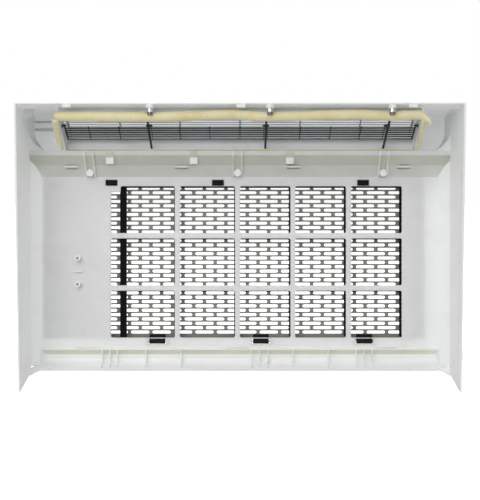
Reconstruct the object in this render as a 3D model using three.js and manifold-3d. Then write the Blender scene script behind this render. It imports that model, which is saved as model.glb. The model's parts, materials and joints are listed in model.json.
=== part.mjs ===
// Front cover of a window air conditioner: a moulded case with a sloped air outlet, a foam seal round
// its duct, a swinging black louver and a slotted intake door hinged along its lower edge.
// Millimetres. +Z is up, the front faces -Y and the rear rim, which meets the chassis, faces +Y.
import * as THREE from "three";
import { mergeVertices } from "three/addons/utils/BufferGeometryUtils.js";
import Module from "manifold-3d";

const wasm = await Module();
wasm.setup();

// ---------------------------------------------------------------- driving dimensions
// The case is drawn in its face plate's frame: y = 0 is the plate's inner face and z = 0 its mid height.
// The plate leans, so the whole assembly is turned by LEAN to bring the rear rim upright.
const LEAN = THREE.MathUtils.degToRad(3.5);
const HALF_WIDTH = 330;
const WALL = 2.5;
const GAP = 0.3;
const TOP_Z = 216;
const FOOT_Z = -211;
const RIM_TOP_Y = 106;
const RIM_FOOT_Y = RIM_TOP_Y - (TOP_Z - FOOT_Z) * Math.tan(LEAN);
const INNER_X = HALF_WIDTH - WALL;

// Face plate and its windows, left to right as seen from behind (+X is on the left).
const PLATE_TOP_Z = 115.6;
const PLATE_FOOT_Z = -151.5;
const SHELF_Z = 154;
const HOOD_FRONT_Y = -20;
const WINDOW_COLUMNS = [
  [103, 203.7],
  [7.9, 94.8],
  [-79.8, 0],
  [-167.4, -87.3],
  [-255.9, -175.3],
];
const WINDOW_TOP_Z = 100.8;
const WINDOW_HEIGHT = 74;
const WINDOW_PITCH = 82.6;
const WINDOW_ROWS = 3;
const WINDOW_CORNER = 2.4;
const NOTCH = { x: 188.7, drop: 9 };

// Sloped air outlet: a line from the duct's upper rear edge down to the front, 29 degrees from level.
const OUTLET_SLOPE = THREE.MathUtils.degToRad(29);
const OUTLET_ORIGIN = [86, 196];
const DUCT_HALF_WIDTH = 270;
const DUCT_WALL = 2;
const DUCT_SPAN = [4, 80];
const SKIN_DISTANCE = 20.7;
const OUTLET_SPAN = [8, 76];
const OUTLET_HALF_WIDTH = 266;
const SHOULDER_X = 279.3;

// Louver: six thin blades swinging together about the pins of three posts.
const LOUVER_PIVOT = [30, 8];
const BLADE_FIRST = 36.5;
const BLADE_PITCH = 5.5;
const BLADE_COUNT = 6;
const BLADE_CHORD = 5.5;
const BLADE_THICKNESS = 1.2;
const BLADE_RISE = THREE.MathUtils.degToRad(7.4);
const LOUVER_HALF_WIDTH = 267;
const POST_X = [137.7, -39.2, -222.8];
const POST_HALF = 1.5;
const POST_SPAN_N = [-1.2, 1.4];
const POST_FOOT_CLEARANCE = 1.4;
const RIB_PITCH = 46.1;
const PIVOT_PIN_R = 1.3;
const PIVOT_HOLE_R = 1.8;

// Intake door, hinged at its lower edge, and the blank panel beside it.
const DOOR = { left: 226, right: -292, top: 113, foot: -141, front: -21, rear: -4 };
const DOOR_PANEL = 3;
const HINGE = [-1.25, -144.15];
const HINGE_X = [130.8, -33, -196.8];
const HINGE_WIDTH = 27.6;
const HINGE_SLOT_Z = [-148.3, -140];
const HINGE_PIN_R = 1.5;
const HOOK_R = 3.8;
const HOOK_HOLE_R = 1.9;
const LATCH_X = [203, 34.9, -194.5];
const LATCH_WIDTH = 18.6;
const LATCH_SLOT_Z = [101.6, 110.6];
const SEAL_X = [180.9, 189.7];
const SLOT_PITCH_X = 68.6;
const SLOT_PITCH_Z = 13.94;
const SLOT_ROWS = 17;
const SLOT_BRIDGE = 8;
const SLOT_BAR = 5;
const PANEL_X = [229, 312];

// Trim strip above the door, with snap hooks through slots in the case.
const TRIM = { halfWidth: 312, foot: 117, top: 148.6, front: -22 };
const SNAP_X = [264.2, 92.2, -83.6, -257.3];
const SNAP_Z = 130.5;
const SNAP_SLOT = { half: 9.6, below: 2.1, above: 2.1 };

// Fixings and moulded details.
const SCREW_X = [132.5, -44, -224];
const SCREW_Y = 98;
const TOWER_X = [235.3, 4.1, -224.7];
const TAB_X = [202.6, 72.2, -77.6];
const TOP_TAB_X = [254, -1.5, -254];
const BOTTOM_RIBS = [217, 205, 193.5, 148.5, 93, -18, -31, -43.5, -83, -139, -183, -196, -208];
const CORNER_WEB_R = 35;
const GUSSET_Y = [58, 61];
const GUSSET_LEFT = [[328, 199], [328, 214], [311, 214], [313, 204], [318, 200]];
const GUSSET_RIGHT = [[-318.5, 207], [-318.5, 214], [-328, 214], [-328, 207]];
const SHOULDER_LEDGES = [[190, 194.5], [203.5, 205.5]];
const CHIN_END_X = [311.5, 314.3];
const CHIN_NOTCH_X = [240.5, 4, -231.5];
const BOSS_X = 255.5;
const BOSS_Z = [-13, -54];

// ---------------------------------------------------------------- shapes and solids
const POSITION_TOLERANCE = 1e-4;
const SLIVER = 2e-3;

function solid(geometry) {
  const bare = new THREE.BufferGeometry();
  const flat = geometry.index ? geometry.toNonIndexed() : geometry;
  bare.setAttribute("position", flat.getAttribute("position"));
  const merged = mergeVertices(bare, POSITION_TOLERANCE);
  return new wasm.Manifold(
    new wasm.Mesh({
      numProp: 3,
      vertProperties: merged.attributes.position.array,
      triVerts: new Uint32Array(merged.index.array),
    }),
  );
}

function geometryOf(manifold) {
  const mesh = manifold.getMesh();
  const geometry = new THREE.BufferGeometry();
  geometry.setAttribute("position", new THREE.BufferAttribute(mesh.vertProperties, 3));
  geometry.setIndex(new THREE.BufferAttribute(mesh.triVerts, 1));
  geometry.computeVertexNormals();
  return geometry;
}

const join = (...solids) => solids.reduce((all, next) => all.add(next));
const cut = (body, ...tools) => tools.reduce((left, tool) => left.subtract(tool), body);

function outline(points, holes = []) {
  const shape = new THREE.Shape(points.map(([a, b]) => new THREE.Vector2(a, b)));
  for (const hole of holes) shape.holes.push(new THREE.Path(hole.map(([a, b]) => new THREE.Vector2(a, b))));
  return shape;
}

function extrude(shape, length, axes, origin) {
  const geometry = new THREE.ExtrudeGeometry(shape, { depth: length, bevelEnabled: false, curveSegments: 4 });
  const matrix = new THREE.Matrix4().makeBasis(...axes.map((axis) => new THREE.Vector3(...axis)));
  matrix.setPosition(...origin);
  return solid(geometry.applyMatrix4(matrix));
}

// A section in the (y, z) plane carried along x from x0 to x1.
const alongX = (points, x0, x1, holes) =>
  extrude(outline(points, holes), x1 - x0, [[0, 1, 0], [0, 0, 1], [1, 0, 0]], [x0, 0, 0]);

// A section in the (x, z) plane carried along y from y0 to y1.
const alongY = (points, y0, y1, holes) =>
  extrude(outline(points, holes), y1 - y0, [[1, 0, 0], [0, 0, 1], [0, -1, 0]], [0, y1, 0]);

// A section in the (x, y) plane carried up from z0 to z1.
const alongZ = (points, z0, z1) =>
  extrude(outline(points), z1 - z0, [[1, 0, 0], [0, 1, 0], [0, 0, 1]], [0, 0, z0]);

const rectangle = (a0, a1, b0, b1) => [[a0, b0], [a1, b0], [a1, b1], [a0, b1]];
const block = (x0, x1, y0, y1, z0, z1) => alongZ(rectangle(x0, x1, y0, y1), z0, z1);

function circle(a, b, radius, sides = 16) {
  return Array.from({ length: sides }, (_, i) => {
    const angle = ((i + 0.5) / sides) * 2 * Math.PI;
    return [a + radius * Math.cos(angle), b + radius * Math.sin(angle)];
  });
}

function rounded(a0, a1, b0, b1, radius, steps = 2) {
  const corners = [[a1 - radius, b1 - radius, 0], [a0 + radius, b1 - radius, 1]];
  corners.push([a0 + radius, b0 + radius, 2], [a1 - radius, b0 + radius, 3]);
  return corners.flatMap(([a, b, quarter]) =>
    Array.from({ length: steps + 1 }, (_, i) => {
      const angle = (quarter + i / steps) * (Math.PI / 2);
      return [a + radius * Math.cos(angle), b + radius * Math.sin(angle)];
    }),
  );
}

// The closed section of a wall of even thickness lying to the right of an open path.
function wallSection(path, thickness) {
  const normals = path.slice(1).map(([a, b], i) => {
    const da = a - path[i][0];
    const db = b - path[i][1];
    const length = Math.hypot(da, db);
    return [db / length, -da / length];
  });
  const offset = path.map(([a, b], i) => {
    const before = normals[Math.max(i - 1, 0)];
    const after = normals[Math.min(i, normals.length - 1)];
    const share = thickness / (1 + before[0] * after[0] + before[1] * after[1]);
    return [a + (before[0] + after[0]) * share, b + (before[1] + after[1]) * share];
  });
  return [...path, ...offset.reverse()];
}

// A point of the sloped outlet's own frame: s runs down the slope, n out through it.
function onSlope([s, n]) {
  const cos = Math.cos(OUTLET_SLOPE);
  const sin = Math.sin(OUTLET_SLOPE);
  return [OUTLET_ORIGIN[0] - s * cos - n * sin, OUTLET_ORIGIN[1] - s * sin + n * cos];
}

const slopeBlock = (x0, x1, s0, s1, n0, n1) =>
  alongX(rectangle(s0, s1, n0, n1).map(onSlope).reverse(), x0, x1);
const slopeRod = (x0, x1, [s, n], radius, sides = 12) => alongX(circle(...onSlope([s, n]), radius, sides), x0, x1);

// ---------------------------------------------------------------- the assembly
const part = new THREE.Group();
part.name = "window_air_conditioner_front";
const assembly = new THREE.Group();
part.add(assembly);

// The sloped outlet's frame: y runs back up the slope (y = -s) and z out through it (z = n).
const outlet = new THREE.Group();
outlet.position.set(0, ...OUTLET_ORIGIN);
outlet.rotation.x = OUTLET_SLOPE;
assembly.add(outlet);

const FINISHES = {
  case_white: { color: 0xd9dcdb, roughness: 0.55, metalness: 0 },
  duct_white: { color: 0xccd2d3, roughness: 0.5, metalness: 0 },
  louver_black: { color: 0x161616, roughness: 0.45, metalness: 0 },
  grille_grey: { color: 0x6f6c65, roughness: 0.6, metalness: 0 },
  foam_cream: { color: 0xd8cb98, roughness: 0.95, metalness: 0 },
  seal_black: { color: 0x101010, roughness: 0.9, metalness: 0 },
  steel: { color: 0xb8bcc0, roughness: 0.35, metalness: 1 },
  screw_black: { color: 0x202022, roughness: 0.4, metalness: 1 },
};

function add(name, manifold, finish, group = assembly) {
  const mesh = new THREE.Mesh(geometryOf(manifold), new THREE.MeshStandardMaterial(FINISHES[finish]));
  mesh.name = name;
  group.add(mesh);
}

// ---------------------------------------------------------------- case
// Inner face of the moulded wall, from the chin's lip up the plate and under the hood's shelf.
const LOWER_PATH = [
  [16, -186.5],
  [9, -183.5],
  [1, -180],
  [-5, -176],
  [-6.5, -172.5],
  [-4, -165],
  [1, -158.8],
  [3, -157.5],
  [3, -153],
  [0, PLATE_FOOT_Z],
  [0, PLATE_TOP_Z],
  [9, 133],
  [22, 147.5],
  [24, SHELF_Z],
  [HOOD_FRONT_Y + 3, SHELF_Z],
  [HOOD_FRONT_Y, SHELF_Z + 3],
];
const slopeFoot = onSlope([109, SKIN_DISTANCE]);
const slopeHead = onSlope([2.5, SKIN_DISTANCE]);
const RIM_INNER = [RIM_TOP_Y - WALL * Math.tan(LEAN), TOP_Z - WALL];
const OUTLET_PATH = [...LOWER_PATH, slopeFoot, slopeHead, [76.5, TOP_Z - WALL], RIM_INNER];
const SHOULDER_PATH = [...LOWER_PATH, [HOOD_FRONT_Y, TOP_Z - WALL], RIM_INNER];

function windowOutlines() {
  const outlines = [];
  WINDOW_COLUMNS.forEach(([right, left], column) => {
    for (let row = 0; row < WINDOW_ROWS; row += 1) {
      const top = WINDOW_TOP_Z - row * WINDOW_PITCH;
      if (column === 0 && row === 0) {
        outlines.push(rounded(right, NOTCH.x, top - WINDOW_HEIGHT, top, WINDOW_CORNER));
        outlines.push(rounded(right, left, top - WINDOW_HEIGHT, top - NOTCH.drop, WINDOW_CORNER));
      } else {
        outlines.push(rounded(right, left, top - WINDOW_HEIGHT, top, WINDOW_CORNER));
      }
    }
  });
  return outlines;
}

const mirrored = (points) => points.map(([a, b]) => [-a, b]).reverse();

function caseShell() {
  const hoodFoot = SHELF_Z - WALL;
  const hoodFace = HOOD_FRONT_Y - WALL;
  const side = [
    [RIM_TOP_Y, TOP_Z],
    [RIM_FOOT_Y, FOOT_Z],
    [RIM_FOOT_Y - 3, FOOT_Z],
    [20, -195],
    [0, -185],
    [-2.5, -180],
    [-2.5, hoodFoot],
    [hoodFace, hoodFoot],
    [hoodFace, TOP_Z],
  ].reverse();
  const cheek = [[hoodFace, SHELF_Z], slopeFoot, slopeHead, [slopeHead[0] - 1.4, TOP_Z], [hoodFace, TOP_Z]];
  const chamfer = [
    [INNER_X, 14],
    [HALF_WIDTH, 12.8],
    [313.8, -WALL],
    [312.7, 0],
  ].reverse();
  const wedge = [
    [HALF_WIDTH + 1, 13.8],
    [313.8, -WALL],
    [313.8, -40],
    [HALF_WIDTH + 1, -40],
  ].reverse();
  const shoulder = wallSection(SHOULDER_PATH, -WALL).reverse();
  const shell = join(
    alongX(wallSection(OUTLET_PATH, -WALL).reverse(), -SHOULDER_X + 0.5, SHOULDER_X - 0.5),
    alongX(shoulder, SHOULDER_X - 1, HALF_WIDTH - 1),
    alongX(shoulder, -HALF_WIDTH + 1, -SHOULDER_X + 1),
    alongX(cheek, SHOULDER_X - WALL, SHOULDER_X),
    alongX(cheek, -SHOULDER_X, -SHOULDER_X + WALL),
    alongX(side, INNER_X, HALF_WIDTH),
    alongX(side, -HALF_WIDTH, -INNER_X),
  );
  const chamferSpan = [-182, hoodFoot + 1];
  const chinEnd = [[2.5, -156], [-4, -163.5], [-8.6, -171.5], [-8, -176], [-4, -180.5], [3, -183.5]];
  return join(
    cut(shell, alongZ(wedge, FOOT_Z - 5, hoodFoot), alongZ(mirrored(wedge), FOOT_Z - 5, hoodFoot)),
    alongZ(chamfer, ...chamferSpan),
    alongZ(mirrored(chamfer), ...chamferSpan),
    alongX(chinEnd, -CHIN_END_X[1], -CHIN_END_X[0]),
    alongX(chinEnd, ...CHIN_END_X),
  );
}

// A web filling the corner between a wall at x = INNER_X and a face at z = foot, with a hollow arc.
function cornerWeb(foot, radius, steps = 6) {
  const arc = Array.from({ length: steps + 1 }, (_, i) => {
    const angle = (i / steps) * (Math.PI / 2);
    return [INNER_X + 0.5 - radius * (1 - Math.sin(angle)), foot + radius * (1 - Math.cos(angle))];
  });
  return [[INNER_X + 0.5, foot - 0.5], ...arc.reverse(), [INNER_X + 0.5 - radius, foot - 0.5]];
}

// The chin's lower edge sweeps down into the side wall.
const CHIN_SWEEP = [[298, -184], [298, -186.5], [306, -187.2], [314, -189.6], [321, -193], [328, -197.5], [328, -184]];

function caseDetails() {
  const details = [];
  const ribInner = [[12, -182], [3, -175], [3, -166], [5, -157.2]];
  const ribRoot = [[1.8, -157], [-0.5, -159.3], [-5, -165.5], [-7.7, -172.6], [-6, -177], [0.4, -181.2], [9.5, -185]];
  const rib = [...ribRoot, ...ribInner];
  const rail = [[-1, 116], [8, 133], [21, 147.5], [23, 153.5], [27.5, 153.5], [26, 146], [13, 131], [5, 114]];
  const tab = [[7, 134], [21, 147.5], [22, 153], [28, 153], [21, 144], [21, 134]];
  for (const x of BOTTOM_RIBS) details.push(alongX(rib, x - 0.8, x + 0.8));
  for (const x of TOWER_X) {
    details.push(alongX([...rail].reverse(), x - 8, x - 5.5), alongX([...rail].reverse(), x + 5.5, x + 8));
    details.push(alongY(circle(x, 121, 5.8), 1, 11));
  }
  for (const x of TAB_X) details.push(alongX([...tab].reverse(), x - 6, x + 6));
  for (const x of TOP_TAB_X) details.push(block(x - 6.5, x + 6.5, 94, 104, 209, TOP_Z - 1));
  for (const x of SCREW_X) details.push(alongZ(circle(x, SCREW_Y, 6.6), 208, TOP_Z - 1));
  details.push(alongY([...GUSSET_LEFT].reverse(), ...GUSSET_Y), alongY([...GUSSET_RIGHT].reverse(), ...GUSSET_Y));
  for (const x of LATCH_X) {
    details.push(block(x - 6, x + 6, -1, 1.8, LATCH_SLOT_Z[1] + 0.3, LATCH_SLOT_Z[1] + 1.9));
    for (const edge of [-8.3, 8.3]) {
      details.push(block(x + edge - 1, x + edge + 1, -1, 3.2, LATCH_SLOT_Z[1] + 0.2, LATCH_SLOT_Z[1] + 2.2));
    }
  }
  for (const x of SNAP_X) {
    for (const edge of [-10.6, 10.6]) {
      details.push(block(x + edge - 1, x + edge + 1, 5, 12.5, SNAP_Z - 1.6, SNAP_Z + 1.6));
    }
  }
  for (const [z0, z1] of SHOULDER_LEDGES) {
    details.push(block(SHOULDER_X - 1, INNER_X + 0.5, HOOD_FRONT_Y - 1, HOOD_FRONT_Y + 4, z0, z1));
  }
  for (const z of BOSS_Z) details.push(alongY(circle(BOSS_X, z, 4.7), -1, 8));
  details.push(block(BOSS_X - 7, BOSS_X + 7, -1, 4, -34.5, -32.7));
  for (const x of HINGE_X) {
    for (const side of [-1, 1]) {
      const inner = x + side * (HINGE_WIDTH / 2);
      const outer = inner + side * 5;
      details.push(block(Math.min(inner, outer), Math.max(inner, outer), -4.6, 2.4, -148, -141.7));
    }
  }
  for (const side of [-1, 1]) {
    const face = side * HALF_WIDTH;
    const web = cornerWeb(SHELF_Z, CORNER_WEB_R);
    const sweep = side > 0 ? CHIN_SWEEP : mirrored(CHIN_SWEEP);
    details.push(alongY(side > 0 ? web : mirrored(web), HOOD_FRONT_Y - 1, 20));
    details.push(alongY(sweep, 9, 16));
    const pad = rectangle(RIM_FOOT_Y - 9, RIM_FOOT_Y + 2.2, -165, -147);
    details.push(alongX(pad, Math.min(face - side, face + side), Math.max(face - side, face + side)));
  }
  return details;
}

function caseCuts() {
  const cuts = windowOutlines().map((points) => alongY(points, -10, 10));
  for (const x of LATCH_X) {
    cuts.push(block(x - LATCH_WIDTH / 2, x + LATCH_WIDTH / 2, -10, 10, ...LATCH_SLOT_Z));
  }
  for (const x of HINGE_X) {
    cuts.push(block(x - HINGE_WIDTH / 2, x + HINGE_WIDTH / 2, -10, 10, ...HINGE_SLOT_Z));
    cuts.push(alongX(circle(...HINGE, HINGE_PIN_R + GAP, 12), x - HINGE_WIDTH / 2 - 4, x + HINGE_WIDTH / 2 + 4));
  }
  for (const x of CHIN_NOTCH_X) cuts.push(block(x - 17, x + 17, 1.6, 6, -156.8, -153.6));
  for (const side of [-1, 1]) {
    const groove = [side * (INNER_X - 1), side * (INNER_X + 0.9)].sort((a, b) => a - b);
    cuts.push(block(...groove, 14.6, 16.6, -178, 150));
  }
  for (const x of SNAP_X) {
    const { half, below, above } = SNAP_SLOT;
    cuts.push(block(x - half, x + half, -6, 26, SNAP_Z - below, SNAP_Z + above));
  }
  for (const z of BOSS_Z) cuts.push(alongY(circle(BOSS_X, z, 2, 12), -0.5, 10));
  for (const x of SCREW_X) cuts.push(alongZ(circle(x, SCREW_Y, 2, 12), 200, TOP_Z - 3));
  cuts.push(slopeBlock(-OUTLET_HALF_WIDTH, OUTLET_HALF_WIDTH, ...OUTLET_SPAN, SKIN_DISTANCE - 4, SKIN_DISTANCE + 8));
  return cuts;
}

// Sections that share a run of wall leave needle-thin facets along it, which simplifying closes up.
const frontCase = cut(join(caseShell(), ...caseDetails()), ...caseCuts()).simplify(SLIVER);
add("front_case", frontCase, "case_white");

// ---------------------------------------------------------------- outlet duct, seals and grille
function ductFrame() {
  const outer = slopeBlock(
    -DUCT_HALF_WIDTH - DUCT_WALL,
    DUCT_HALF_WIDTH + DUCT_WALL,
    DUCT_SPAN[0] - DUCT_WALL,
    DUCT_SPAN[1] + DUCT_WALL,
    0,
    SKIN_DISTANCE - GAP,
  );
  const inner = slopeBlock(-DUCT_HALF_WIDTH, DUCT_HALF_WIDTH, ...DUCT_SPAN, -5, SKIN_DISTANCE + 5);
  const pinHoles = slopeRod(-DUCT_HALF_WIDTH - 5, DUCT_HALF_WIDTH + 5, LOUVER_PIVOT, 3.3, 12);
  return cut(outer, inner, pinHoles);
}
add("outlet_duct", ductFrame(), "duct_white");

const SEAL_TOP = [-7.5, 1.7, -1, 6.5];
add("foam_seal_top", slopeBlock(-270, 274, ...SEAL_TOP), "foam_cream");
add("foam_seal_left", slopeBlock(270, 278, 2.2, 74.6, -6, -GAP), "foam_cream");
add("foam_seal_right", slopeBlock(-276, -269, 2.2, 74.6, -6, -GAP), "foam_cream");
add("foam_seal_bottom", slopeBlock(-268.5, 269.5, 78.6, 81.5, -2, -GAP), "foam_cream");

function outletGrille() {
  const half = OUTLET_HALF_WIDTH - GAP - 0.1;
  const [head, foot] = [OUTLET_SPAN[0] + GAP + 0.1, OUTLET_SPAN[1] - GAP - 0.1];
  const [inside, outside] = [SKIN_DISTANCE - 0.2, SKIN_DISTANCE + 2.2];
  const border = 3;
  const barWidth = 1.6;
  const barCount = 10;
  const cells = 6;
  const cellPitch = 2 * RIB_PITCH;
  const gapPitch = (foot - head - 2 * border + barWidth) / (barCount + 1);
  const openings = [];
  for (let cell = 0; cell < cells; cell += 1) {
    const x0 = Math.max((cell - cells / 2) * cellPitch + 1, -half + border);
    const x1 = Math.min((cell - cells / 2 + 1) * cellPitch - 1, half - border);
    for (let i = 0; i <= barCount; i += 1) {
      const s = head + border + i * gapPitch;
      openings.push(block(x0, x1, -(s + gapPitch - barWidth), -s, inside - 2, outside + 2));
    }
  }
  return cut(block(-half, half, -foot, -head, inside, outside), ...openings);
}
add("outlet_grille", outletGrille(), "duct_white", outlet);

// ---------------------------------------------------------------- louver and its supports
const [PIVOT_S, PIVOT_N] = LOUVER_PIVOT;
const BLADE_LAST = BLADE_FIRST + (BLADE_COUNT - 1) * BLADE_PITCH;

function blade(index, x0, x1) {
  const [y, z] = onSlope([BLADE_FIRST + index * BLADE_PITCH, PIVOT_N]);
  const [cos, sin] = [Math.cos(BLADE_RISE), Math.sin(BLADE_RISE)];
  const corner = (chord, thick) => [y - chord * cos + thick * sin, z + chord * sin + thick * cos];
  const [c, t] = [BLADE_CHORD / 2, BLADE_THICKNESS / 2];
  return alongX([corner(-c, -t), corner(-c, t), corner(c, t), corner(c, -t)].reverse(), x0, x1);
}

function louverRib(x, thickness, lug) {
  const plate = slopeBlock(x - thickness / 2, x + thickness / 2, PIVOT_S, BLADE_LAST + 1, PIVOT_N - 1.5, PIVOT_N + 1.5);
  if (!lug) {
    return join(plate, slopeRod(x - thickness / 2, x + thickness / 2, [PIVOT_S + 2, PIVOT_N], 2.2, 6));
  }
  const eye = slopeRod(x - thickness / 2, x + thickness / 2, LOUVER_PIVOT, 3.2, 12);
  return cut(join(plate, eye), slopeRod(x - 5, x + 5, LOUVER_PIVOT, PIVOT_HOLE_R, 12));
}

function louver() {
  const blades = Array.from({ length: BLADE_COUNT }, (_, i) => blade(i, -LOUVER_HALF_WIDTH, LOUVER_HALF_WIDTH));
  const ribs = [];
  for (let i = -5; i <= 5; i += 1) {
    const x = i * RIB_PITCH;
    if (POST_X.every((post) => Math.abs(post - x) > 10)) ribs.push(louverRib(x, 1.6, false));
  }
  for (const x of POST_X) ribs.push(louverRib(x - 3.6, 1.6, true), louverRib(x + 3.6, 1.6, true));
  for (const x of [-LOUVER_HALF_WIDTH + 1, LOUVER_HALF_WIDTH - 1]) ribs.push(louverRib(x, 2, true));
  return join(...blades, ...ribs);
}
add("louver", louver(), "louver_black");

POST_X.forEach((x, i) => {
  const [a, b] = [x - POST_HALF, x + POST_HALF];
  const strip = slopeBlock(a, b, DUCT_SPAN[0] + GAP, DUCT_SPAN[1] - POST_FOOT_CLEARANCE, ...POST_SPAN_N);
  const arm = slopeBlock(a, b, PIVOT_S - 3, PIVOT_S + 2.4, 1, PIVOT_N + 1);
  const pin = slopeRod(x - 5, x + 5, LOUVER_PIVOT, PIVOT_PIN_R);
  add(`louver_post_${i + 1}`, join(strip, arm, pin), "louver_black");
});
for (const [side, name] of [[1, "left"], [-1, "right"]]) {
  const ends = (a, b) => [Math.min(side * a, side * b), Math.max(side * a, side * b)];
  const bush = join(
    slopeRod(...ends(DUCT_HALF_WIDTH - 0.8, DUCT_HALF_WIDTH + DUCT_WALL + 1), LOUVER_PIVOT, 3, 12),
    slopeRod(...ends(LOUVER_HALF_WIDTH - 3, DUCT_HALF_WIDTH), LOUVER_PIVOT, PIVOT_PIN_R, 12),
  );
  add(`louver_bush_${name}`, bush, "louver_black");
}
SCREW_X.forEach((x, i) => {
  add(`duct_spacer_${i + 1}`, cut(alongZ(circle(x, SCREW_Y, 4.4), 202.3, 207.7), alongZ(circle(x, SCREW_Y, 2.2, 12), 200, 210)), "steel");
  add(`duct_screw_${i + 1}`, join(alongZ(circle(x, SCREW_Y, 4), 198.6, 202), alongZ(circle(x, SCREW_Y, 1.6, 12), 201, 212)), "screw_black");
});

// ---------------------------------------------------------------- trim strip and blank side panel
function trimStrip() {
  const section = [
    [TRIM.front, TRIM.foot],
    [-4, TRIM.foot],
    [-4, TRIM.foot + WALL],
    [TRIM.front + WALL, TRIM.foot + WALL],
    [TRIM.front + WALL, TRIM.top - WALL],
    [-4, TRIM.top - WALL],
    [-4, TRIM.top],
    [TRIM.front, TRIM.top],
  ];
  const hooks = SNAP_X.map((x) =>
    alongX(
      [
        [TRIM.front + 1, SNAP_Z - 1.5],
        [14.5, SNAP_Z - 1.5],
        [14.5, SNAP_Z + 0.6],
        [12.5, SNAP_Z + 1.7],
        [12.5, SNAP_Z + 0.5],
        [TRIM.front + 1, SNAP_Z + 0.5],
      ],
      x - 9,
      x + 9,
    ),
  );
  return join(alongX(section, -TRIM.halfWidth, TRIM.halfWidth), ...hooks);
}
add("upper_trim_strip", trimStrip(), "case_white");

function openBox(x0, x1, z0, z1, skin) {
  return cut(
    block(x0, x1, DOOR.front, DOOR.rear, z0, z1),
    block(x0 + WALL, x1 - WALL, DOOR.front + skin, DOOR.rear + 5, z0 + WALL, z1 - WALL),
  );
}
add("side_panel", openBox(PANEL_X[0], PANEL_X[1], DOOR.foot, DOOR.top, WALL), "case_white");

// ---------------------------------------------------------------- intake door
function slotOutlines() {
  const middle = (DOOR.left + DOOR.right) / 2;
  const edge = (DOOR.left - DOOR.right) / 2 - 12;
  const first = DOOR.top - 14;
  const slots = [];
  for (let row = 0; row < SLOT_ROWS; row += 1) {
    const top = first - row * SLOT_PITCH_Z;
    const shift = row % 2 ? SLOT_PITCH_X / 2 : 0;
    for (let i = -4; i <= 4; i += 1) {
      const a = Math.max(-edge, i * SLOT_PITCH_X + shift + SLOT_BRIDGE / 2);
      const b = Math.min(edge, (i + 1) * SLOT_PITCH_X + shift - SLOT_BRIDGE / 2);
      if (b - a > SLOT_BRIDGE) slots.push(rectangle(middle + a, middle + b, top - SLOT_PITCH_Z + SLOT_BAR, top));
    }
  }
  return slots;
}

function intakeDoor() {
  const frame = rectangle(DOOR.right, DOOR.left, DOOR.foot, DOOR.top);
  const slots = slotOutlines().map((points) => alongY(points, DOOR.front - 2, DOOR.front + DOOR_PANEL + 2));
  const panel = cut(alongY(frame, DOOR.front, DOOR.front + DOOR_PANEL), ...slots);
  const rim = cut(
    block(DOOR.right, DOOR.left, DOOR.front + 1, DOOR.rear, DOOR.foot, DOOR.top),
    block(DOOR.right + WALL, DOOR.left - WALL, DOOR.front, DOOR.rear + 5, DOOR.foot + WALL, DOOR.top - WALL),
  );
  const notches = HINGE_X.map((x) => block(x - 13, x + 13, -10, DOOR.rear + 5, DOOR.foot - 5, DOOR.foot + 5));
  return cut(join(panel, rim), ...notches);
}
add("intake_grille", intakeDoor(), "grille_grey");

HINGE_X.forEach((x, i) => {
  const [y, z] = HINGE;
  const arm = [[y, z - 1], [y, z + 3], [y - 3.05, z + 3], [y - 3.05, z + 10.5], [y - 8.4, z + 10.5], [y - 8.4, z - 1]];
  const hook = join(alongX(circle(y, z, HOOK_R, 16), x - 12.5, x + 12.5), alongX(arm, x - 12.5, x + 12.5));
  const bore = alongX(circle(y, z, HOOK_HOLE_R, 12), x - 14, x + 14);
  add(`grille_hinge_hook_${i + 1}`, cut(hook, bore), "seal_black");
  const pin = alongX(circle(y, z, HINGE_PIN_R, 12), x - HINGE_WIDTH / 2 - 3.6, x + HINGE_WIDTH / 2 + 3.6);
  add(`grille_hinge_pin_${i + 1}`, pin, "steel");
});
LATCH_X.forEach((x, i) => {
  const hook = [[-10, 101.2], [-4.3, 101.2], [-4.3, 103.6], [3, 103.6], [3, 106], [1, 107.8], [1, 106], [-4.3, 106], [-4.3, 110], [-10, 110]];
  add(`grille_latch_${i + 1}`, alongX(hook, x - 8, x + 8), "seal_black");
});
add("grille_seal_strip", block(...SEAL_X, DOOR.front + DOOR_PANEL + GAP, -3.2, DOOR.foot + 3, 101), "seal_black");

// ---------------------------------------------------------------- lean, and the origin at the middle of the box
assembly.rotation.x = LEAN;
part.updateMatrixWorld(true);
const middle = new THREE.Box3().setFromObject(assembly, true).getCenter(new THREE.Vector3());
assembly.position.sub(middle);

export default part;
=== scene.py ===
"""Front cover of a window air conditioner, seen from behind: looks, light and camera around the CAD frame."""

import json
import math

import bpy
from mathutils import Matrix, Vector, noise


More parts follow.
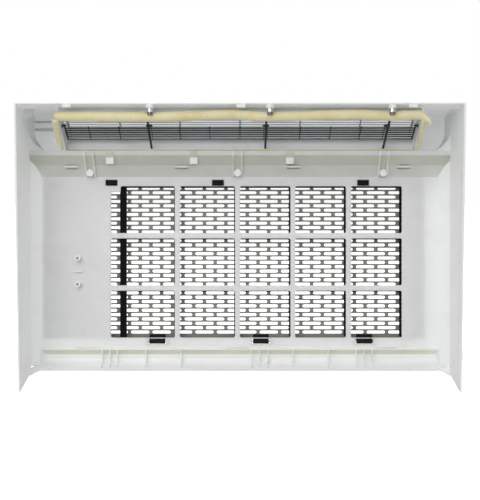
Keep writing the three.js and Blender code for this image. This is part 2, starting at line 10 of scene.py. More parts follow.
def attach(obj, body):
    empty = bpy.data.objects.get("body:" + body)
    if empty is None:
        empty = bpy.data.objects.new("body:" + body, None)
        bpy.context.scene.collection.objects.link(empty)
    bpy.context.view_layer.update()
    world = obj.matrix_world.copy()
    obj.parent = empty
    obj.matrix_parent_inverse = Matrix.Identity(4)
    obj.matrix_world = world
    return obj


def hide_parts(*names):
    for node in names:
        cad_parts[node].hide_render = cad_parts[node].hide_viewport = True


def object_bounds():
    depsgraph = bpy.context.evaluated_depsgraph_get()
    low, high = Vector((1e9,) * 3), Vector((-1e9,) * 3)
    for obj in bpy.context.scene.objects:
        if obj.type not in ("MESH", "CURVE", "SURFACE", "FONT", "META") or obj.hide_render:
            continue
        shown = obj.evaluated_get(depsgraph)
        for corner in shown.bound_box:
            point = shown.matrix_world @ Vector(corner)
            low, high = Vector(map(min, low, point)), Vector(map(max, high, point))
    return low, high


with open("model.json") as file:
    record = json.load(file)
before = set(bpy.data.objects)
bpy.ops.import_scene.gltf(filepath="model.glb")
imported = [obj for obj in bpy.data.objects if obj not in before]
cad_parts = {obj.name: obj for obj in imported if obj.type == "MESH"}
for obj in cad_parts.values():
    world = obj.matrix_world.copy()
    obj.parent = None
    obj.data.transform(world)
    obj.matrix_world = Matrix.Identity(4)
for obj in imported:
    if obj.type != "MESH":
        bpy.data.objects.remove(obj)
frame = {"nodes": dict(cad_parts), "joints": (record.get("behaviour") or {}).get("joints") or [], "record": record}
nodes = frame["nodes"]
cad_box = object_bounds()

# ---------------------------------------------------------------- the plate's frame, in millimetres
# Shapes are drawn in the face plate's own frame: y = 0 is its inner face, z = 0 its mid height and +X is
# on the left seen from behind. The plate leans, and the door's hinge ties this frame to the row's frame.
LEAN = math.radians(3.5)
HINGE = Vector((0, -1.25, -144.15))


def plate_frame():
    hinge = next(joint for joint in frame["joints"] if joint["name"] == "door_hinge")
    turn = Matrix.Rotation(LEAN, 4, "X") @ Matrix.Scale(0.001, 4)
    return Matrix.Translation(Vector(hinge["pos_m"]) - turn @ HINGE) @ turn


PLATE = plate_frame()

# The sloped outlet's own frame: x, then distance up the slope (y), then distance out through it (z).
OUTLET_SLOPE = math.radians(29)
OUTLET = PLATE @ Matrix.Translation((0, 86, 196)) @ Matrix.Rotation(OUTLET_SLOPE, 4, "X")


# ---------------------------------------------------------------- meshes
MILLIMETRE = 0.001
BEVEL_SEGMENTS = 2
BEVEL_ANGLE = math.radians(30)


def piece(name, verts, faces, body, slot, material, place=PLATE, smooth=False):
    """A new mesh object drawn in millimetres in one of the frames above, riding on a CAD body."""
    mesh = bpy.data.meshes.new(name)
    mesh.from_pydata([place @ Vector(v) for v in verts], [], faces)
    mesh.validate()
    mesh.shade_smooth() if smooth else mesh.shade_flat()
    made = bpy.data.objects.new(name, mesh)
    bpy.context.scene.collection.objects.link(made)
    made.data.materials.append(material)
    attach(made, body)
    return made


def soften(thing, width):
    """Rounds the sharp edges by a width in millimetres and evens out the shading across them."""
    bevel = thing.modifiers.new("edges", "BEVEL")
    bevel.width = width * MILLIMETRE
    bevel.segments = BEVEL_SEGMENTS
    bevel.limit_method = "ANGLE"
    bevel.angle_limit = BEVEL_ANGLE
    bevel.use_clamp_overlap = True
    bevel.harden_normals = True
    thing.data.shade_smooth()
    return thing


def paint(thing, material):
    thing.data.materials.clear()
    thing.data.materials.append(material)


def box_mesh(x0, x1, y0, y1, z0, z1, start=0):
    verts = [(x, y, z) for x in (x0, x1) for y in (y0, y1) for z in (z0, z1)]
    faces = [(0, 1, 3, 2), (4, 6, 7, 5), (0, 4, 5, 1), (2, 3, 7, 6), (0, 2, 6, 4), (1, 5, 7, 3)]
    return verts, [tuple(i + start for i in face) for face in faces]


def boxes_mesh(boxes):
    verts, faces = [], []
    for box in boxes:
        more_verts, more_faces = box_mesh(*box, start=len(verts))
        verts += more_verts
        faces += more_faces
    return verts, faces


def tube_mesh(rings):
    """A closed body skinned over rings of the same number of points."""
    count = len(rings[0])
    verts = [point for ring in rings for point in ring]
    faces = []
    for i in range(len(rings) - 1):
        for j in range(count):
            k = (j + 1) % count
            faces.append((i * count + j, i * count + k, (i + 1) * count + k, (i + 1) * count + j))
    faces.append(tuple(reversed(range(count))))
    faces.append(tuple(range((len(rings) - 1) * count, len(rings) * count)))
    return verts, faces


# ---------------------------------------------------------------- materials
class Nodes:
    """A material's node tree with short calls for what the materials below need."""

    def __init__(self, name):
        self.material = bpy.data.materials.new(name)
        self.material.use_nodes = True
        self.tree = self.material.node_tree
        self.shader = self.tree.nodes["Principled BSDF"]
        self.place = self.tree.nodes.new("ShaderNodeTexCoord").outputs["Object"]

    def link(self, source, target):
        self.tree.links.new(source, target)

    def noise(self, scale, detail=4.0, stretch=(1, 1, 1)):
        mapping = self.tree.nodes.new("ShaderNodeMapping")
        mapping.inputs["Scale"].default_value = stretch
        self.link(self.place, mapping.inputs["Vector"])
        texture = self.tree.nodes.new("ShaderNodeTexNoise")
        texture.inputs["Scale"].default_value = scale
        texture.inputs["Detail"].default_value = detail
        texture.inputs["Roughness"].default_value = 0.55
        self.link(mapping.outputs["Vector"], texture.inputs["Vector"])
        return texture.outputs["Fac"]

    def cells(self, scale):
        texture = self.tree.nodes.new("ShaderNodeTexVoronoi")
        texture.feature = "F1"
        texture.inputs["Scale"].default_value = scale
        self.link(self.place, texture.inputs["Vector"])
        return texture.outputs["Distance"]

    def ramp(self, source, stops):
        ramp = self.tree.nodes.new("ShaderNodeValToRGB")
        while len(ramp.color_ramp.elements) < len(stops):
            ramp.color_ramp.elements.new(0.5)
        for element, (position, colour) in zip(ramp.color_ramp.elements, stops):
            element.position = position
            element.color = (*colour, 1)
        self.link(source, ramp.inputs["Fac"])
        return ramp.outputs["Color"]

    def span(self, source, low, high):
        remap = self.tree.nodes.new("ShaderNodeMapRange")
        remap.inputs["To Min"].default_value = low
        remap.inputs["To Max"].default_value = high
        self.link(source, remap.inputs["Value"])
        return remap.outputs["Result"]

    def mix(self, factor, first, second, kind="MIX"):
        mix = self.tree.nodes.new("ShaderNodeMix")
        mix.data_type = "RGBA"
        mix.blend_type = kind
        mix.inputs[0].default_value = factor if isinstance(factor, float) else 1.0
        if not isinstance(factor, float):
            self.link(factor, mix.inputs[0])
        self.link(first, mix.inputs[6])
        self.link(second, mix.inputs[7])
        return mix.outputs[2]

    def hood_shade_mask(self):
        """1 on faces that look down from under the hood's shelf, where painted shade darkens the colour."""
        geometry = self.tree.nodes.new("ShaderNodeNewGeometry")
        masks = []
        spans = ((geometry.outputs["Normal"], -0.2, -0.5), (geometry.outputs["Position"], 0.158, 0.140))
        for source, start, end in spans:
            split = self.tree.nodes.new("ShaderNodeSeparateXYZ")
            self.link(source, split.inputs["Vector"])
            remap = self.tree.nodes.new("ShaderNodeMapRange")
            remap.inputs["From Min"].default_value = start
            remap.inputs["From Max"].default_value = end
            self.link(split.outputs["Z"], remap.inputs["Value"])
            masks.append(remap.outputs["Result"])
        both = self.tree.nodes.new("ShaderNodeMath")
        both.operation = "MULTIPLY"
        for mask, socket in zip(masks, both.inputs):
            self.link(mask, socket)
        return both.outputs["Value"]

    def bump(self, heights):
        """Chains height textures, each with its distance in millimetres."""
        normal = None
        for height, distance in heights:
            bump = self.tree.nodes.new("ShaderNodeBump")
            bump.inputs["Distance"].default_value = distance * MILLIMETRE
            self.link(height, bump.inputs["Height"])
            if normal:
                self.link(normal, bump.inputs["Normal"])
            normal = bump.outputs["Normal"]
        self.link(normal, self.shader.inputs["Normal"])


def shade(colour, factor):
    return tuple(channel * factor for channel in colour)


def moulded_plastic(name, colour, roughness, variation=0.04, grain=0.02, dust=None, hood_shade_tint=None, glow=0.0):
    """Moulded plastic: slow tone drift, fine spark-eroded grain, and edges that wear a little lighter."""
    kit = Nodes(name)
    drift = kit.ramp(kit.noise(5), [(0.3, shade(colour, 1 - variation)), (0.7, colour)])
    edge = kit.tree.nodes.new("ShaderNodeNewGeometry").outputs["Pointiness"]
    worn = kit.ramp(edge, [(0.50, (0, 0, 0)), (0.56, (0.35, 0.35, 0.35))])
    light = kit.ramp(kit.noise(40), [(0.3, shade(colour, 1.02)), (0.7, shade(colour, 1.12))])
    tone = kit.mix(worn, drift, light)
    # Painted shade: down-facing faces under the hood's shelf turn a darker olive grey, standing in for the hood's
    # shadow.
    if hood_shade_tint:
        mask = kit.hood_shade_mask()
        hood_shade_tone = kit.ramp(kit.noise(35, detail=5), [(0.3, shade(hood_shade_tint, 0.93)), (0.7, hood_shade_tint)])
        tone = kit.mix(mask, tone, hood_shade_tone)
    if dust:
        settled = kit.ramp(kit.noise(22, detail=6), [(0.52, (0, 0, 0)), (0.72, (0.22, 0.22, 0.22))])
        dusty = kit.ramp(kit.noise(300), [(0.3, shade(dust, 0.9)), (0.7, dust)])
        tone = kit.mix(settled, tone, dusty)
    kit.link(tone, kit.shader.inputs["Base Color"])
    kit.link(kit.span(kit.noise(60), roughness - 0.07, roughness + 0.07), kit.shader.inputs["Roughness"])
    kit.shader.inputs["Subsurface Weight"].default_value = glow
    kit.shader.inputs["Subsurface Radius"].default_value = (1, 1, 1)
    kit.shader.inputs["Subsurface Scale"].default_value = 0.008
    kit.bump([(kit.noise(1400, detail=2), grain), (kit.noise(14, detail=2), 0.15)])
    return kit.material


def foam_material():
    """Open-cell foam: cream, browner where it has aged, with small open cells."""
    kit = Nodes("foam")
    tone = kit.ramp(
        kit.noise(18, detail=5),
        [
            (0.25, (0.70, 0.58, 0.27)),
            (0.45, (0.84, 0.75, 0.43)),
            (0.62, (0.89, 0.82, 0.54)),
            (0.8, (0.86, 0.62, 0.25)),
        ],
    )
    cells = kit.cells(620)
    # The cells darken the foam's small pores: painted shade in each open cell.
    pore_shade = kit.ramp(cells, [(0.05, (0.45, 0.38, 0.22)), (0.35, (1, 1, 1))])
    kit.link(kit.mix(0.55, tone, pore_shade, "MULTIPLY"), kit.shader.inputs["Base Color"])
    kit.shader.inputs["Roughness"].default_value = 0.95
    kit.shader.inputs["Sheen Weight"].default_value = 0.3
    kit.shader.inputs["Sheen Roughness"].default_value = 0.6
    kit.bump([(cells, 0.5), (kit.noise(90, detail=3), 0.9)])
    return kit.material


def steel_material():
    """Bright turned steel with fine rings and a few dull patches."""
    kit = Nodes("steel")
    tone = kit.ramp(kit.noise(30), [(0.3, (0.56, 0.57, 0.58)), (0.7, (0.72, 0.73, 0.74))])
    kit.link(tone, kit.shader.inputs["Base Color"])
    kit.shader.inputs["Metallic"].default_value = 1.0
    kit.link(kit.span(kit.noise(120, stretch=(1, 1, 12)), 0.18, 0.42), kit.shader.inputs["Roughness"])
    kit.bump([(kit.noise(300, stretch=(1, 1, 14)), 0.02)])
    return kit.material


def black_screw_material():
    """Black oxide on steel, rubbed brighter along its edges."""
    kit = Nodes("screw_black")
    edge = kit.tree.nodes.new("ShaderNodeNewGeometry").outputs["Pointiness"]
    tone = kit.ramp(edge, [(0.5, (0.02, 0.02, 0.022)), (0.58, (0.16, 0.16, 0.17))])
    kit.link(tone, kit.shader.inputs["Base Color"])
    kit.shader.inputs["Metallic"].default_value = 0.8
    kit.link(kit.span(kit.noise(200), 0.25, 0.45), kit.shader.inputs["Roughness"])
    kit.bump([(kit.noise(700), 0.02)])
    return kit.material


# The olive grey given last below is painted shade for the down-facing faces under the hood's shelf.
case_white = moulded_plastic(
    "case_white", (0.885, 0.905, 0.90), 0.42, dust=(0.66, 0.65, 0.58), hood_shade_tint=(0.66, 0.68, 0.58), glow=1.0
)
duct_white = moulded_plastic("duct_white", (0.78, 0.81, 0.82), 0.45, dust=(0.5, 0.5, 0.44))
louver_black = moulded_plastic("louver_black", (0.014, 0.014, 0.015), 0.38, variation=0.3, grain=0.01)
clip_black = moulded_plastic("clip_black", (0.007, 0.007, 0.007), 0.7, variation=0.3, grain=0.01)
clip_black.node_tree.nodes["Principled BSDF"].inputs["Specular IOR Level"].default_value = 0.2
grille_grey = moulded_plastic(
    "grille_grey", (0.235, 0.225, 0.205), 0.5, variation=0.15, dust=(0.3, 0.28, 0.24)
)
seal_black = moulded_plastic("seal_black", (0.006, 0.006, 0.006), 0.95, variation=0.3, grain=0.15)
seal_black.node_tree.nodes["Principled BSDF"].inputs["Specular IOR Level"].default_value = 0.15
foam_cream = foam_material()
steel = steel_material()
screw_black = black_screw_material()

SLOT_MATERIALS = {
    "case_white": case_white,
    "duct_white": duct_white,
    "louver_black": louver_black,
    "clip_black": clip_black,
    "grille_grey": grille_grey,
    "seal_black": seal_black,
    "foam_cream": foam_cream,
    "steel": steel,
    "screw_black": screw_black,
}
EDGE_WIDTHS = {"front_case": 0.5, "outlet_duct": 0.4, "upper_trim_strip": 0.6, "side_panel": 1.0}


def finish_cad_nodes():
    for part in frame["record"]["subparts"]:
        node = nodes[part["node"]]
        paint(node, SLOT_MATERIALS[part["material_slot"]])
        soften(node, EDGE_WIDTHS.get(part["node"], 0.3))


# ---------------------------------------------------------------- intake door with its fine brick pattern
DOOR_X = (-292, 226)
DOOR_Z = (-141, 113)
DOOR_FACE = -21
DOOR_PANEL_BACK = -18
DOOR_RIM_BACK = -4
DOOR_WALL = 2.5
HINGE_X = (130.8, -33, -196.8)
BRICK_PITCH = 34.3
BRICK_ROW = 6.97
BRICK_SLOT = (29.4, 4.64)
BRICK_ROWS = 34
BRICK_HALF_COLUMNS = 28
BRICK_LEFT = 211.25
BRICK_TOP = 98.7 + BRICK_ROW / 2
SLOT_END_STEPS = 5


def slot_outline(x0, x1, z_mid, grow):
    """A slot with round ends: its left half from the top middle to the bottom middle, then its right."""
    half = BRICK_SLOT[1] / 2 + grow
    middle = (x0 + x1) / 2
    left_end, right_end = x1 + grow - half, x0 - grow + half
    arc = [math.pi * i / SLOT_END_STEPS for i in range(SLOT_END_STEPS + 1)]
    left = [(left_end + half * math.sin(a), z_mid + half * math.cos(a)) for a in arc]
    right = [(right_end - half * math.sin(a), z_mid - half * math.cos(a)) for a in arc]
    return [(middle, z_mid + half), *left, (middle, z_mid - half), *right]


def brick_panel():
    """The slotted panel as one closed skin: cells with a slot each, laid like bricks in a plain border."""
    verts, faces, corner = [], [], {}
    half_pitch = BRICK_PITCH / 2
    layers = (DOOR_PANEL_BACK, DOOR_FACE)

    def grid(layer, column, row):
        key = (layer, column, row)
        if key not in corner:
            corner[key] = len(verts)
            verts.append((BRICK_LEFT - column * half_pitch, layers[layer], BRICK_TOP - row * BRICK_ROW))
        return corner[key]

    def add_face(layer, loop):
        faces.append(tuple(loop) if layer == 0 else tuple(reversed(loop)))

    def slot(row, column, span):
        left = BRICK_LEFT - column * half_pitch
        z_mid = BRICK_TOP - (row + 0.5) * BRICK_ROW
        gap = (BRICK_PITCH - BRICK_SLOT[0]) / 2
        x0, x1 = left - span * half_pitch + gap, left - gap
        rings = []
        for y, grow in ((layers[0], 0.3), (layers[0] - 0.35, 0), (layers[1] + 0.35, 0), (layers[1], 0.3)):
            rings.append(range(len(verts), len(verts) + 2 * SLOT_END_STEPS + 4))
            verts.extend((x, y, z) for x, z in slot_outline(x0, x1, z_mid, grow))
        for outer, inner in zip(rings, rings[1:]):
            for j in range(len(outer)):
                k = (j + 1) % len(outer)
                faces.append((outer[j], outer[k], inner[k], inner[j]))
        half = SLOT_END_STEPS + 2
        for layer, ring in ((0, rings[0]), (1, rings[-1])):
            upper, lower = ([grid(layer, column + c, row + r) for c in range(span + 1)] for r in range(2))
            above, below = upper[span - 1 :], lower[span - 1 :]
            left_side = [*ring[: half + 1], *reversed(lower[:span]), *upper[:span]]
            right_side = [*ring[half:], ring[0], *above, *reversed(below)]
            add_face(layer, left_side[::-1])
            add_face(layer, right_side[::-1])

    for row in range(BRICK_ROWS):
        shift = 1 - row % 2
        for column in range(shift, BRICK_HALF_COLUMNS - shift, 2):
            slot(row, column, 2)
        if shift:
            slot(row, 0, 1)
            slot(row, BRICK_HALF_COLUMNS - 1, 1)

    top = [(c, 0) for c in range(BRICK_HALF_COLUMNS + 1)]
    foot = [(c, BRICK_ROWS) for c in range(BRICK_HALF_COLUMNS, -1, -1)]
    right_side = [(BRICK_HALF_COLUMNS, r) for r in range(BRICK_ROWS + 1)]
    left_side = [(0, r) for r in range(BRICK_ROWS, -1, -1)]
    rims = []
    for layer in (0, 1):
        first = len(verts)
        verts.extend((x, layers[layer], z) for x, z in rim_corners())
        rims.append(range(first, first + 4))
        for side, (a, b) in zip((top, right_side, foot, left_side), ((0, 1), (1, 2), (2, 3), (3, 0))):
            loop = [grid(layer, c, r) for c, r in side]
            add_face(layer, [*loop, first + b, first + a])
    for j in range(4):
        k = (j + 1) % 4
        faces.append((rims[0][j], rims[0][k], rims[1][k], rims[1][j]))
    return verts, faces


def rim_corners():
    return [(DOOR_X[1], DOOR_Z[1]), (DOOR_X[0], DOOR_Z[1]), (DOOR_X[0], DOOR_Z[0]), (DOOR_X[1], DOOR_Z[0])]


def make_intake_door():
    panel = piece("intake_grille_fine", *brick_panel(), "door_body", "grille_grey", grille_grey)
    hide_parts("intake_grille")
    depth = (DOOR_PANEL_BACK - 1, DOOR_RIM_BACK)
    walls = [
        (DOOR_X[1] - DOOR_WALL, DOOR_X[1], *depth, *DOOR_Z),
        (DOOR_X[0], DOOR_X[0] + DOOR_WALL, *depth, *DOOR_Z),
        (DOOR_X[0], DOOR_X[1], *depth, DOOR_Z[1] - DOOR_WALL, DOOR_Z[1]),
    ]
    edges = [DOOR_X[1], *(x + side * 13 for x in HINGE_X for side in (1, -1)), DOOR_X[0]]
    for left, right in zip(edges[::2], edges[1::2]):
        walls.append((right, left, *depth, DOOR_Z[0], DOOR_Z[0] + DOOR_WALL))
    rim = piece("intake_grille_rim", *boxes_mesh(walls), "door_body", "grille_grey", grille_grey)
    soften(rim, 0.4)


WINDOW_COLUMNS = ((103, 203.7), (7.9, 94.8), (-79.8, 0), (-167.4, -87.3), (-255.9, -175.3))
WINDOW_TOP = 100.8
WINDOW_PITCH = 82.6
WINDOW_HEIGHT = 74
SHADOW_RIB = 1.5


def make_window_shadow_ribs():
    """Thin black ribs on the door's back, one along the edge of each window: painted shade, a dark part standing
    in for the thin shadow lines the bars cast on the grille.
    """
    depth = (DOOR_PANEL_BACK - 0.5, -5.5)
    ribs = []
    for right, left in WINDOW_COLUMNS:
        ribs.append((right - 0.4, right + SHADOW_RIB, *depth, DOOR_Z[0] + 4, WINDOW_TOP))
        for row in range(3):
            top = WINDOW_TOP - row * WINDOW_PITCH
            ribs.append((right - 0.4, left, *depth, top - SHADOW_RIB, top + 0.4))
    made = piece("grille_shadow_ribs", *boxes_mesh(ribs), "door_body", "seal_black", seal_black)
    soften(made, 0.2)


# ---------------------------------------------------------------- louver
LOUVER_HALF_WIDTH = 267
PIVOT_S = 30
PIVOT_N = 8
BLADE_FIRST = 36.5
BLADE_PITCH = 5.5
BLADE_COUNT = 6
BLADE_CHORD = 6.4
BLADE_THICKNESS = 2.6
BLADE_RISE = math.radians(7.4)
BLADE_STEPS = 48
LOUVER_RIB_PITCH = 46.1
LOUVER_RIB = 1.2
POST_X = (137.7, -39.2, -222.8)
EAR_OFFSET = 2.8
EYE_R = 2.3
ROD_SIDES = 16
RIB_HALF_DEPTH = 1.1
CLEAR_OF_POST = 10


def on_slope(s, n):
    """The plate frame's (y, z) of a point s down the sloped outlet and n out through it."""
    cos, sin = math.cos(OUTLET_SLOPE), math.sin(OUTLET_SLOPE)
    return 86 - s * cos - n * sin, 196 - s * sin + n * cos


def rise(x):
    """The long louver rides up a little towards one end, within the slack of its pin holes."""
    return 0.2 - 0.0008 * x


def blade_section(index):
    """A teardrop, blunt towards the room and thin towards the front."""
    y, z = on_slope(BLADE_FIRST + index * BLADE_PITCH, PIVOT_N)
    cos, sin = math.cos(BLADE_RISE), math.sin(BLADE_RISE)
    points = []
    for i in range(12):
        angle = 2 * math.pi * i / 12
        along = math.cos(angle) * BLADE_CHORD / 2
        thick = math.sin(angle) * BLADE_THICKNESS / 2 * (0.8 + 0.2 * math.cos(angle))
        points.append((y + along * cos + thick * sin, z - along * sin + thick * cos))
    return points


def rod_mesh(x0, x1, centre, radius):
    ring = [2 * math.pi * i / ROD_SIDES for i in range(ROD_SIDES)]
    y, z = centre
    circle = [(y + radius * math.cos(a), z + radius * math.sin(a)) for a in ring]
    return tube_mesh([[(x, *point) for point in circle] for x in (x0, x1)])


def merge(meshes):
    verts, faces = [], []
    for more_verts, more_faces in meshes:
        faces += [tuple(i + len(verts) for i in face) for face in more_faces]
        verts += more_verts
    return verts, faces


def louver_rib(x, thickness, s_start, eye_radius):
    """An upright web through all the blades, with a round boss at its head."""
    lift = rise(x)
    foot = BLADE_FIRST + (BLADE_COUNT - 1) * BLADE_PITCH + 1
    outline = [(s_start, PIVOT_N - RIB_HALF_DEPTH), (foot, PIVOT_N - RIB_HALF_DEPTH)]
    outline += [(s, PIVOT_N + RIB_HALF_DEPTH) for s, _ in reversed(outline)]
    sections = [on_slope(*point) for point in outline]
    web = tube_mesh([[(x + side * thickness / 2, y, z + lift) for y, z in sections] for side in (-1, 1)])
    y, z = on_slope(s_start, PIVOT_N)
    boss = rod_mesh(x - thickness / 2 - 0.15, x + thickness / 2 + 0.15, (y, z + lift), eye_radius)
    return merge([web, boss])


def make_louver():
    spread = [-LOUVER_HALF_WIDTH + 2 * LOUVER_HALF_WIDTH * i / BLADE_STEPS for i in range(BLADE_STEPS + 1)]
    parts = []
    for index in range(BLADE_COUNT):
        section = blade_section(index)
        parts.append(tube_mesh([[(x, y, z + rise(x)) for y, z in section] for x in spread]))
    for i in range(-5, 6):
        x = i * LOUVER_RIB_PITCH
        if all(abs(post - x) > CLEAR_OF_POST for post in POST_X):
            parts.append(louver_rib(x, LOUVER_RIB, PIVOT_S + 4.5, 1.5))
    for post in POST_X:
        parts += [louver_rib(post + side * EAR_OFFSET, 0.8, PIVOT_S, EYE_R) for side in (-1, 1)]
    for side in (-1, 1):
        parts.append(louver_rib(side * (LOUVER_HALF_WIDTH - 1), 2.0, PIVOT_S, EYE_R))
    louver = piece("louver_blades", *merge(parts), "louver_body", "louver_black", louver_black)
    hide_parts("louver")
    soften(louver, 0.15)


# ---------------------------------------------------------------- foam seals
def interpolate(points, at):
    """The value at a place on a smooth line through (place, value) points, which run downwards."""
    if at >= points[0][0]:
        return points[0][1]
    for (a, first), (b, second) in zip(points, points[1:]):
        if at >= b:
            share = (a - at) / (a - b)
            share = share * share * (3 - 2 * share)
            return first + (second - first) * share
    return points[-1][1]


def foam_body(name, node, rings):
    strip = piece(name, *tube_mesh(rings), "case", "foam_cream", foam_cream, OUTLET, smooth=True)
    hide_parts(node)


def lumpy(x, s, n, seed, amount):
    slow = noise.noise((x * 0.09, s * 0.3, n * 0.3 + seed))
    fine = noise.noise((x * 0.5, s, n + seed))
    return amount * slow + amount * fine / 3


# How far the long strip was laid above or below its place, along x.
TOP_WAVE = ((272, -0.4), (135, -1.4), (12, 2.0), (-38, -0.6), (-176, 2.0), (-226, 0.2), (-262, 1.8))
TOP_SECTION = (
    (1.6, 6.3), (-3, 7.4), (-7.2, 7.0), (-8.7, 4.2), (-8.2, 0), (-6, -2.8),
    (-1.5, -4.1), (2.6, -4.2), (4.0, -2.8), (3.6, -0.7), (1.7, -0.3),
)
TAIL_START = -268
TAIL_LENGTH = 20


def top_foam():
    """The strip above the duct, wavy as it was laid, with a loose tail curling down past the right corner."""
    rings = []
    steps = 200
    for i in range(steps + 1):
        x = 275 - (275 - TAIL_START + TAIL_LENGTH) * i / steps
        tail = max(0.0, (TAIL_START - x) / TAIL_LENGTH)
        ends = 1 - 0.35 * math.exp(-i / 2)
        size = ends * (1 - 0.55 * tail ** 0.8)
        lift = interpolate(TOP_WAVE, x) - 11 * tail ** 1.6
        bend = x + 5 * tail * tail
        ring = []
        for s, n in TOP_SECTION:
            s_mid, n_mid = -2.2, 1.6 - 3.5 * min(1.0, 4 * tail)
            s_new = s_mid + (s + 2.2) * size + lumpy(x, s, n, 1, 0.5) - lift * math.sin(OUTLET_SLOPE)
            n_new = n_mid + (n - 1.6) * size + lumpy(x, s, n, 5, 0.5) + lift * math.cos(OUTLET_SLOPE)
            if n_new > -0.4 and tail == 0:
                s_new = min(s_new, 1.9)
            ring.append((bend, -s_new, n_new))
        rings.append(ring)
    foam_body("foam_strip_top", "foam_seal_top", rings)


def side_foam(name, node, side, spans, seed):
    """A strip down one side of the duct: spans give its inner and outer edge at the top, middle and foot."""
    rings = []
    steps = 46
    for i in range(steps + 1):
        along = i / steps
        s = 1.5 + 74 * along
        inner, outer = (
            a * (1 - along) * (1 - 2 * along) + b * 4 * along * (1 - along) + c * along * (2 * along - 1)
            for a, b, c in zip(*spans)
        )
        end = min(i, steps - i)
        size = 1 - 0.3 * math.exp(-end)
        middle, half = (inner + outer) / 2, (outer - inner) / 2 * size
        ring = []
        for j in range(12):
            angle = 2 * math.pi * j / 12
            flat_x = math.copysign(abs(math.cos(angle)) ** 0.6, math.cos(angle))
            flat_n = math.copysign(abs(math.sin(angle)) ** 0.6, math.sin(angle))
            x = side * (middle + half * flat_x + lumpy(s, j, 0, seed, 0.35))
            ring.append((x, -s, -3.2 + 2.8 * size * flat_n + lumpy(s, j, 3, seed, 0.3)))
        rings.append(ring if side > 0 else ring[::-1])
    foam_body(name, node, rings)


def bottom_foam():
    rings = []
    steps = 160
    for i in range(steps + 1):
        x = 269 - 537 * i / steps
        lump = sum(math.exp(-((x - post) / 3.2) ** 2) for post in POST_X)
        ring = []
        for j in range(10):
            angle = 2 * math.pi * j / 10
            s = 80 + (1.5 + 1.2 * lump) * math.cos(angle) - 1.2 * lump
            n = -1.5 - 0.8 * lump + (1.1 + 1.3 * lump) * math.sin(angle)
            ring.append((x, -s - lumpy(x, j, 0, 9, 0.3), min(-0.3, n + lumpy(x, j, 4, 9, 0.25))))
        rings.append(ring)
    foam_body("foam_strip_bottom", "foam_seal_bottom", rings)


def make_foam():
    top_foam()
    side_foam("foam_strip_left", "foam_seal_left", 1, ((268.5, 279), (272.2, 281.5), (274.2, 278.2)), 2)
    side_foam("foam_strip_right", "foam_seal_right", -1, ((269, 275.4), (271.5, 278), (273.8, 278)), 7)
    bottom_foam()


# ---------------------------------------------------------------- floor, light and camera
def make_stage():
    floor_z = cad_box[0].z - 0.0005
    size = 30
    mesh = bpy.data.meshes.new("floor")
    corners = ((-size, -size), (size, -size), (size, size), (-size, size))
    mesh.from_pydata([(x, y, floor_z) for x, y in corners], [], [(0, 1, 2, 3)])
    floor = bpy.data.objects.new("floor", mesh)
    bpy.context.scene.collection.objects.link(floor)
    kit = Nodes("pale_floor")
    tone = kit.ramp(kit.noise(2), [(0.3, (0.93, 0.93, 0.93)), (0.7, (0.95, 0.95, 0.95))])
    kit.link(tone, kit.shader.inputs["Base Color"])
    kit.shader.inputs["Roughness"].default_value = 1.0
    kit.shader.inputs["Specular IOR Level"].default_value = 0.0
    kit.shader.inputs["Emission Color"].default_value = (1, 1, 1, 1)
    kit.shader.inputs["Emission Strength"].default_value = 0.6
    floor.data.materials.append(kit.material)
    floor.visible_diffuse = False
    floor.visible_glossy = False


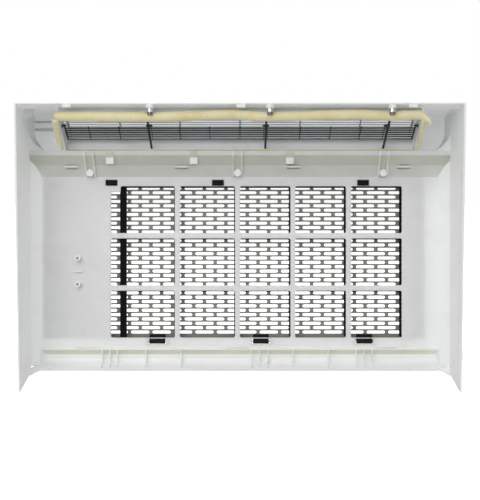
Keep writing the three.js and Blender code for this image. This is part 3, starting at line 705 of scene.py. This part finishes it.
def make_world(overhead, level, below):
    """White behind the object; as a light, a dome graded by height from its overhead, level and below greys,
    dimming towards the floor.
    """
    world = bpy.data.worlds.new("studio")
    world.use_nodes = True
    tree = world.node_tree
    direction = tree.nodes.new("ShaderNodeTexCoord").outputs["Generated"]
    split = tree.nodes.new("ShaderNodeSeparateXYZ")
    tree.links.new(direction, split.inputs["Vector"])
    height = tree.nodes.new("ShaderNodeMapRange")
    height.inputs["From Min"].default_value = -1
    tree.links.new(split.outputs["Z"], height.inputs["Value"])
    dome = tree.nodes.new("ShaderNodeValToRGB")
    dome.color_ramp.elements.new(0.5)
    stops = ((0.2, below), (0.5, level), (0.95, overhead))
    for element, (position, grey) in zip(dome.color_ramp.elements, stops):
        element.position = position
        element.color = (grey, grey, grey, 1)
    tree.links.new(height.outputs["Result"], dome.inputs["Fac"])
    lit = tree.nodes["Background"]
    tree.links.new(dome.outputs["Color"], lit.inputs["Color"])
    seen = tree.nodes.new("ShaderNodeBackground")
    seen.inputs["Color"].default_value = (1, 1, 1, 1)
    choice = tree.nodes.new("ShaderNodeMixShader")
    tree.links.new(tree.nodes.new("ShaderNodeLightPath").outputs["Is Camera Ray"], choice.inputs["Fac"])
    tree.links.new(lit.outputs["Background"], choice.inputs[1])
    tree.links.new(seen.outputs["Background"], choice.inputs[2])
    tree.links.new(choice.outputs["Shader"], tree.nodes["World Output"].inputs["Surface"])
    bpy.context.scene.world = world


def area_light(name, place, target, size, power):
    data = bpy.data.lights.new(name, "AREA")
    data.shape = "RECTANGLE"
    data.size, data.size_y = size
    data.energy = power
    light = bpy.data.objects.new(name, data)
    light.location = place
    light.rotation_euler = (Vector(target) - Vector(place)).to_track_quat("-Z", "Y").to_euler()
    light.visible_camera = False
    bpy.context.scene.collection.objects.link(light)


def make_camera():
    """The camera looks square at the plate from behind, level with its mid height."""
    data = bpy.data.cameras.new("camera")
    data.sensor_width = 36
    data.lens = 63.5
    camera = bpy.data.objects.new("camera", data)
    place = PLATE @ Vector((0, 1393, 0))
    view = PLATE.to_3x3() @ Vector((0, -1, 0))
    up = PLATE.to_3x3() @ Vector((0, 0, 1))
    back, up = -view.normalized(), up.normalized()
    right = up.cross(back)
    turn = Matrix((right, up, back)).transposed().to_4x4()
    camera.matrix_world = Matrix.Translation(place) @ turn
    bpy.context.scene.collection.objects.link(camera)
    bpy.context.scene.camera = camera


# ---------------------------------------------------------------- the scene
finish_cad_nodes()
make_intake_door()
make_window_shadow_ribs()
make_louver()
make_foam()
make_stage()
make_world(0.5, 0.68, 0.5)
area_light("key", (0.9, 2.6, 0.9), (0, 0, 0), (2.2, 1.2), 25)
area_light("through", (0.2, -1.8, 2.4), (0, 0, 0.1), (3.0, 1.6), 48)
area_light("overhead", (0.7, 1.5, 2.2), (0, 0, 0), (1.8, 0.9), 14)
make_camera()
bpy.context.scene.view_settings.view_transform = "Standard"
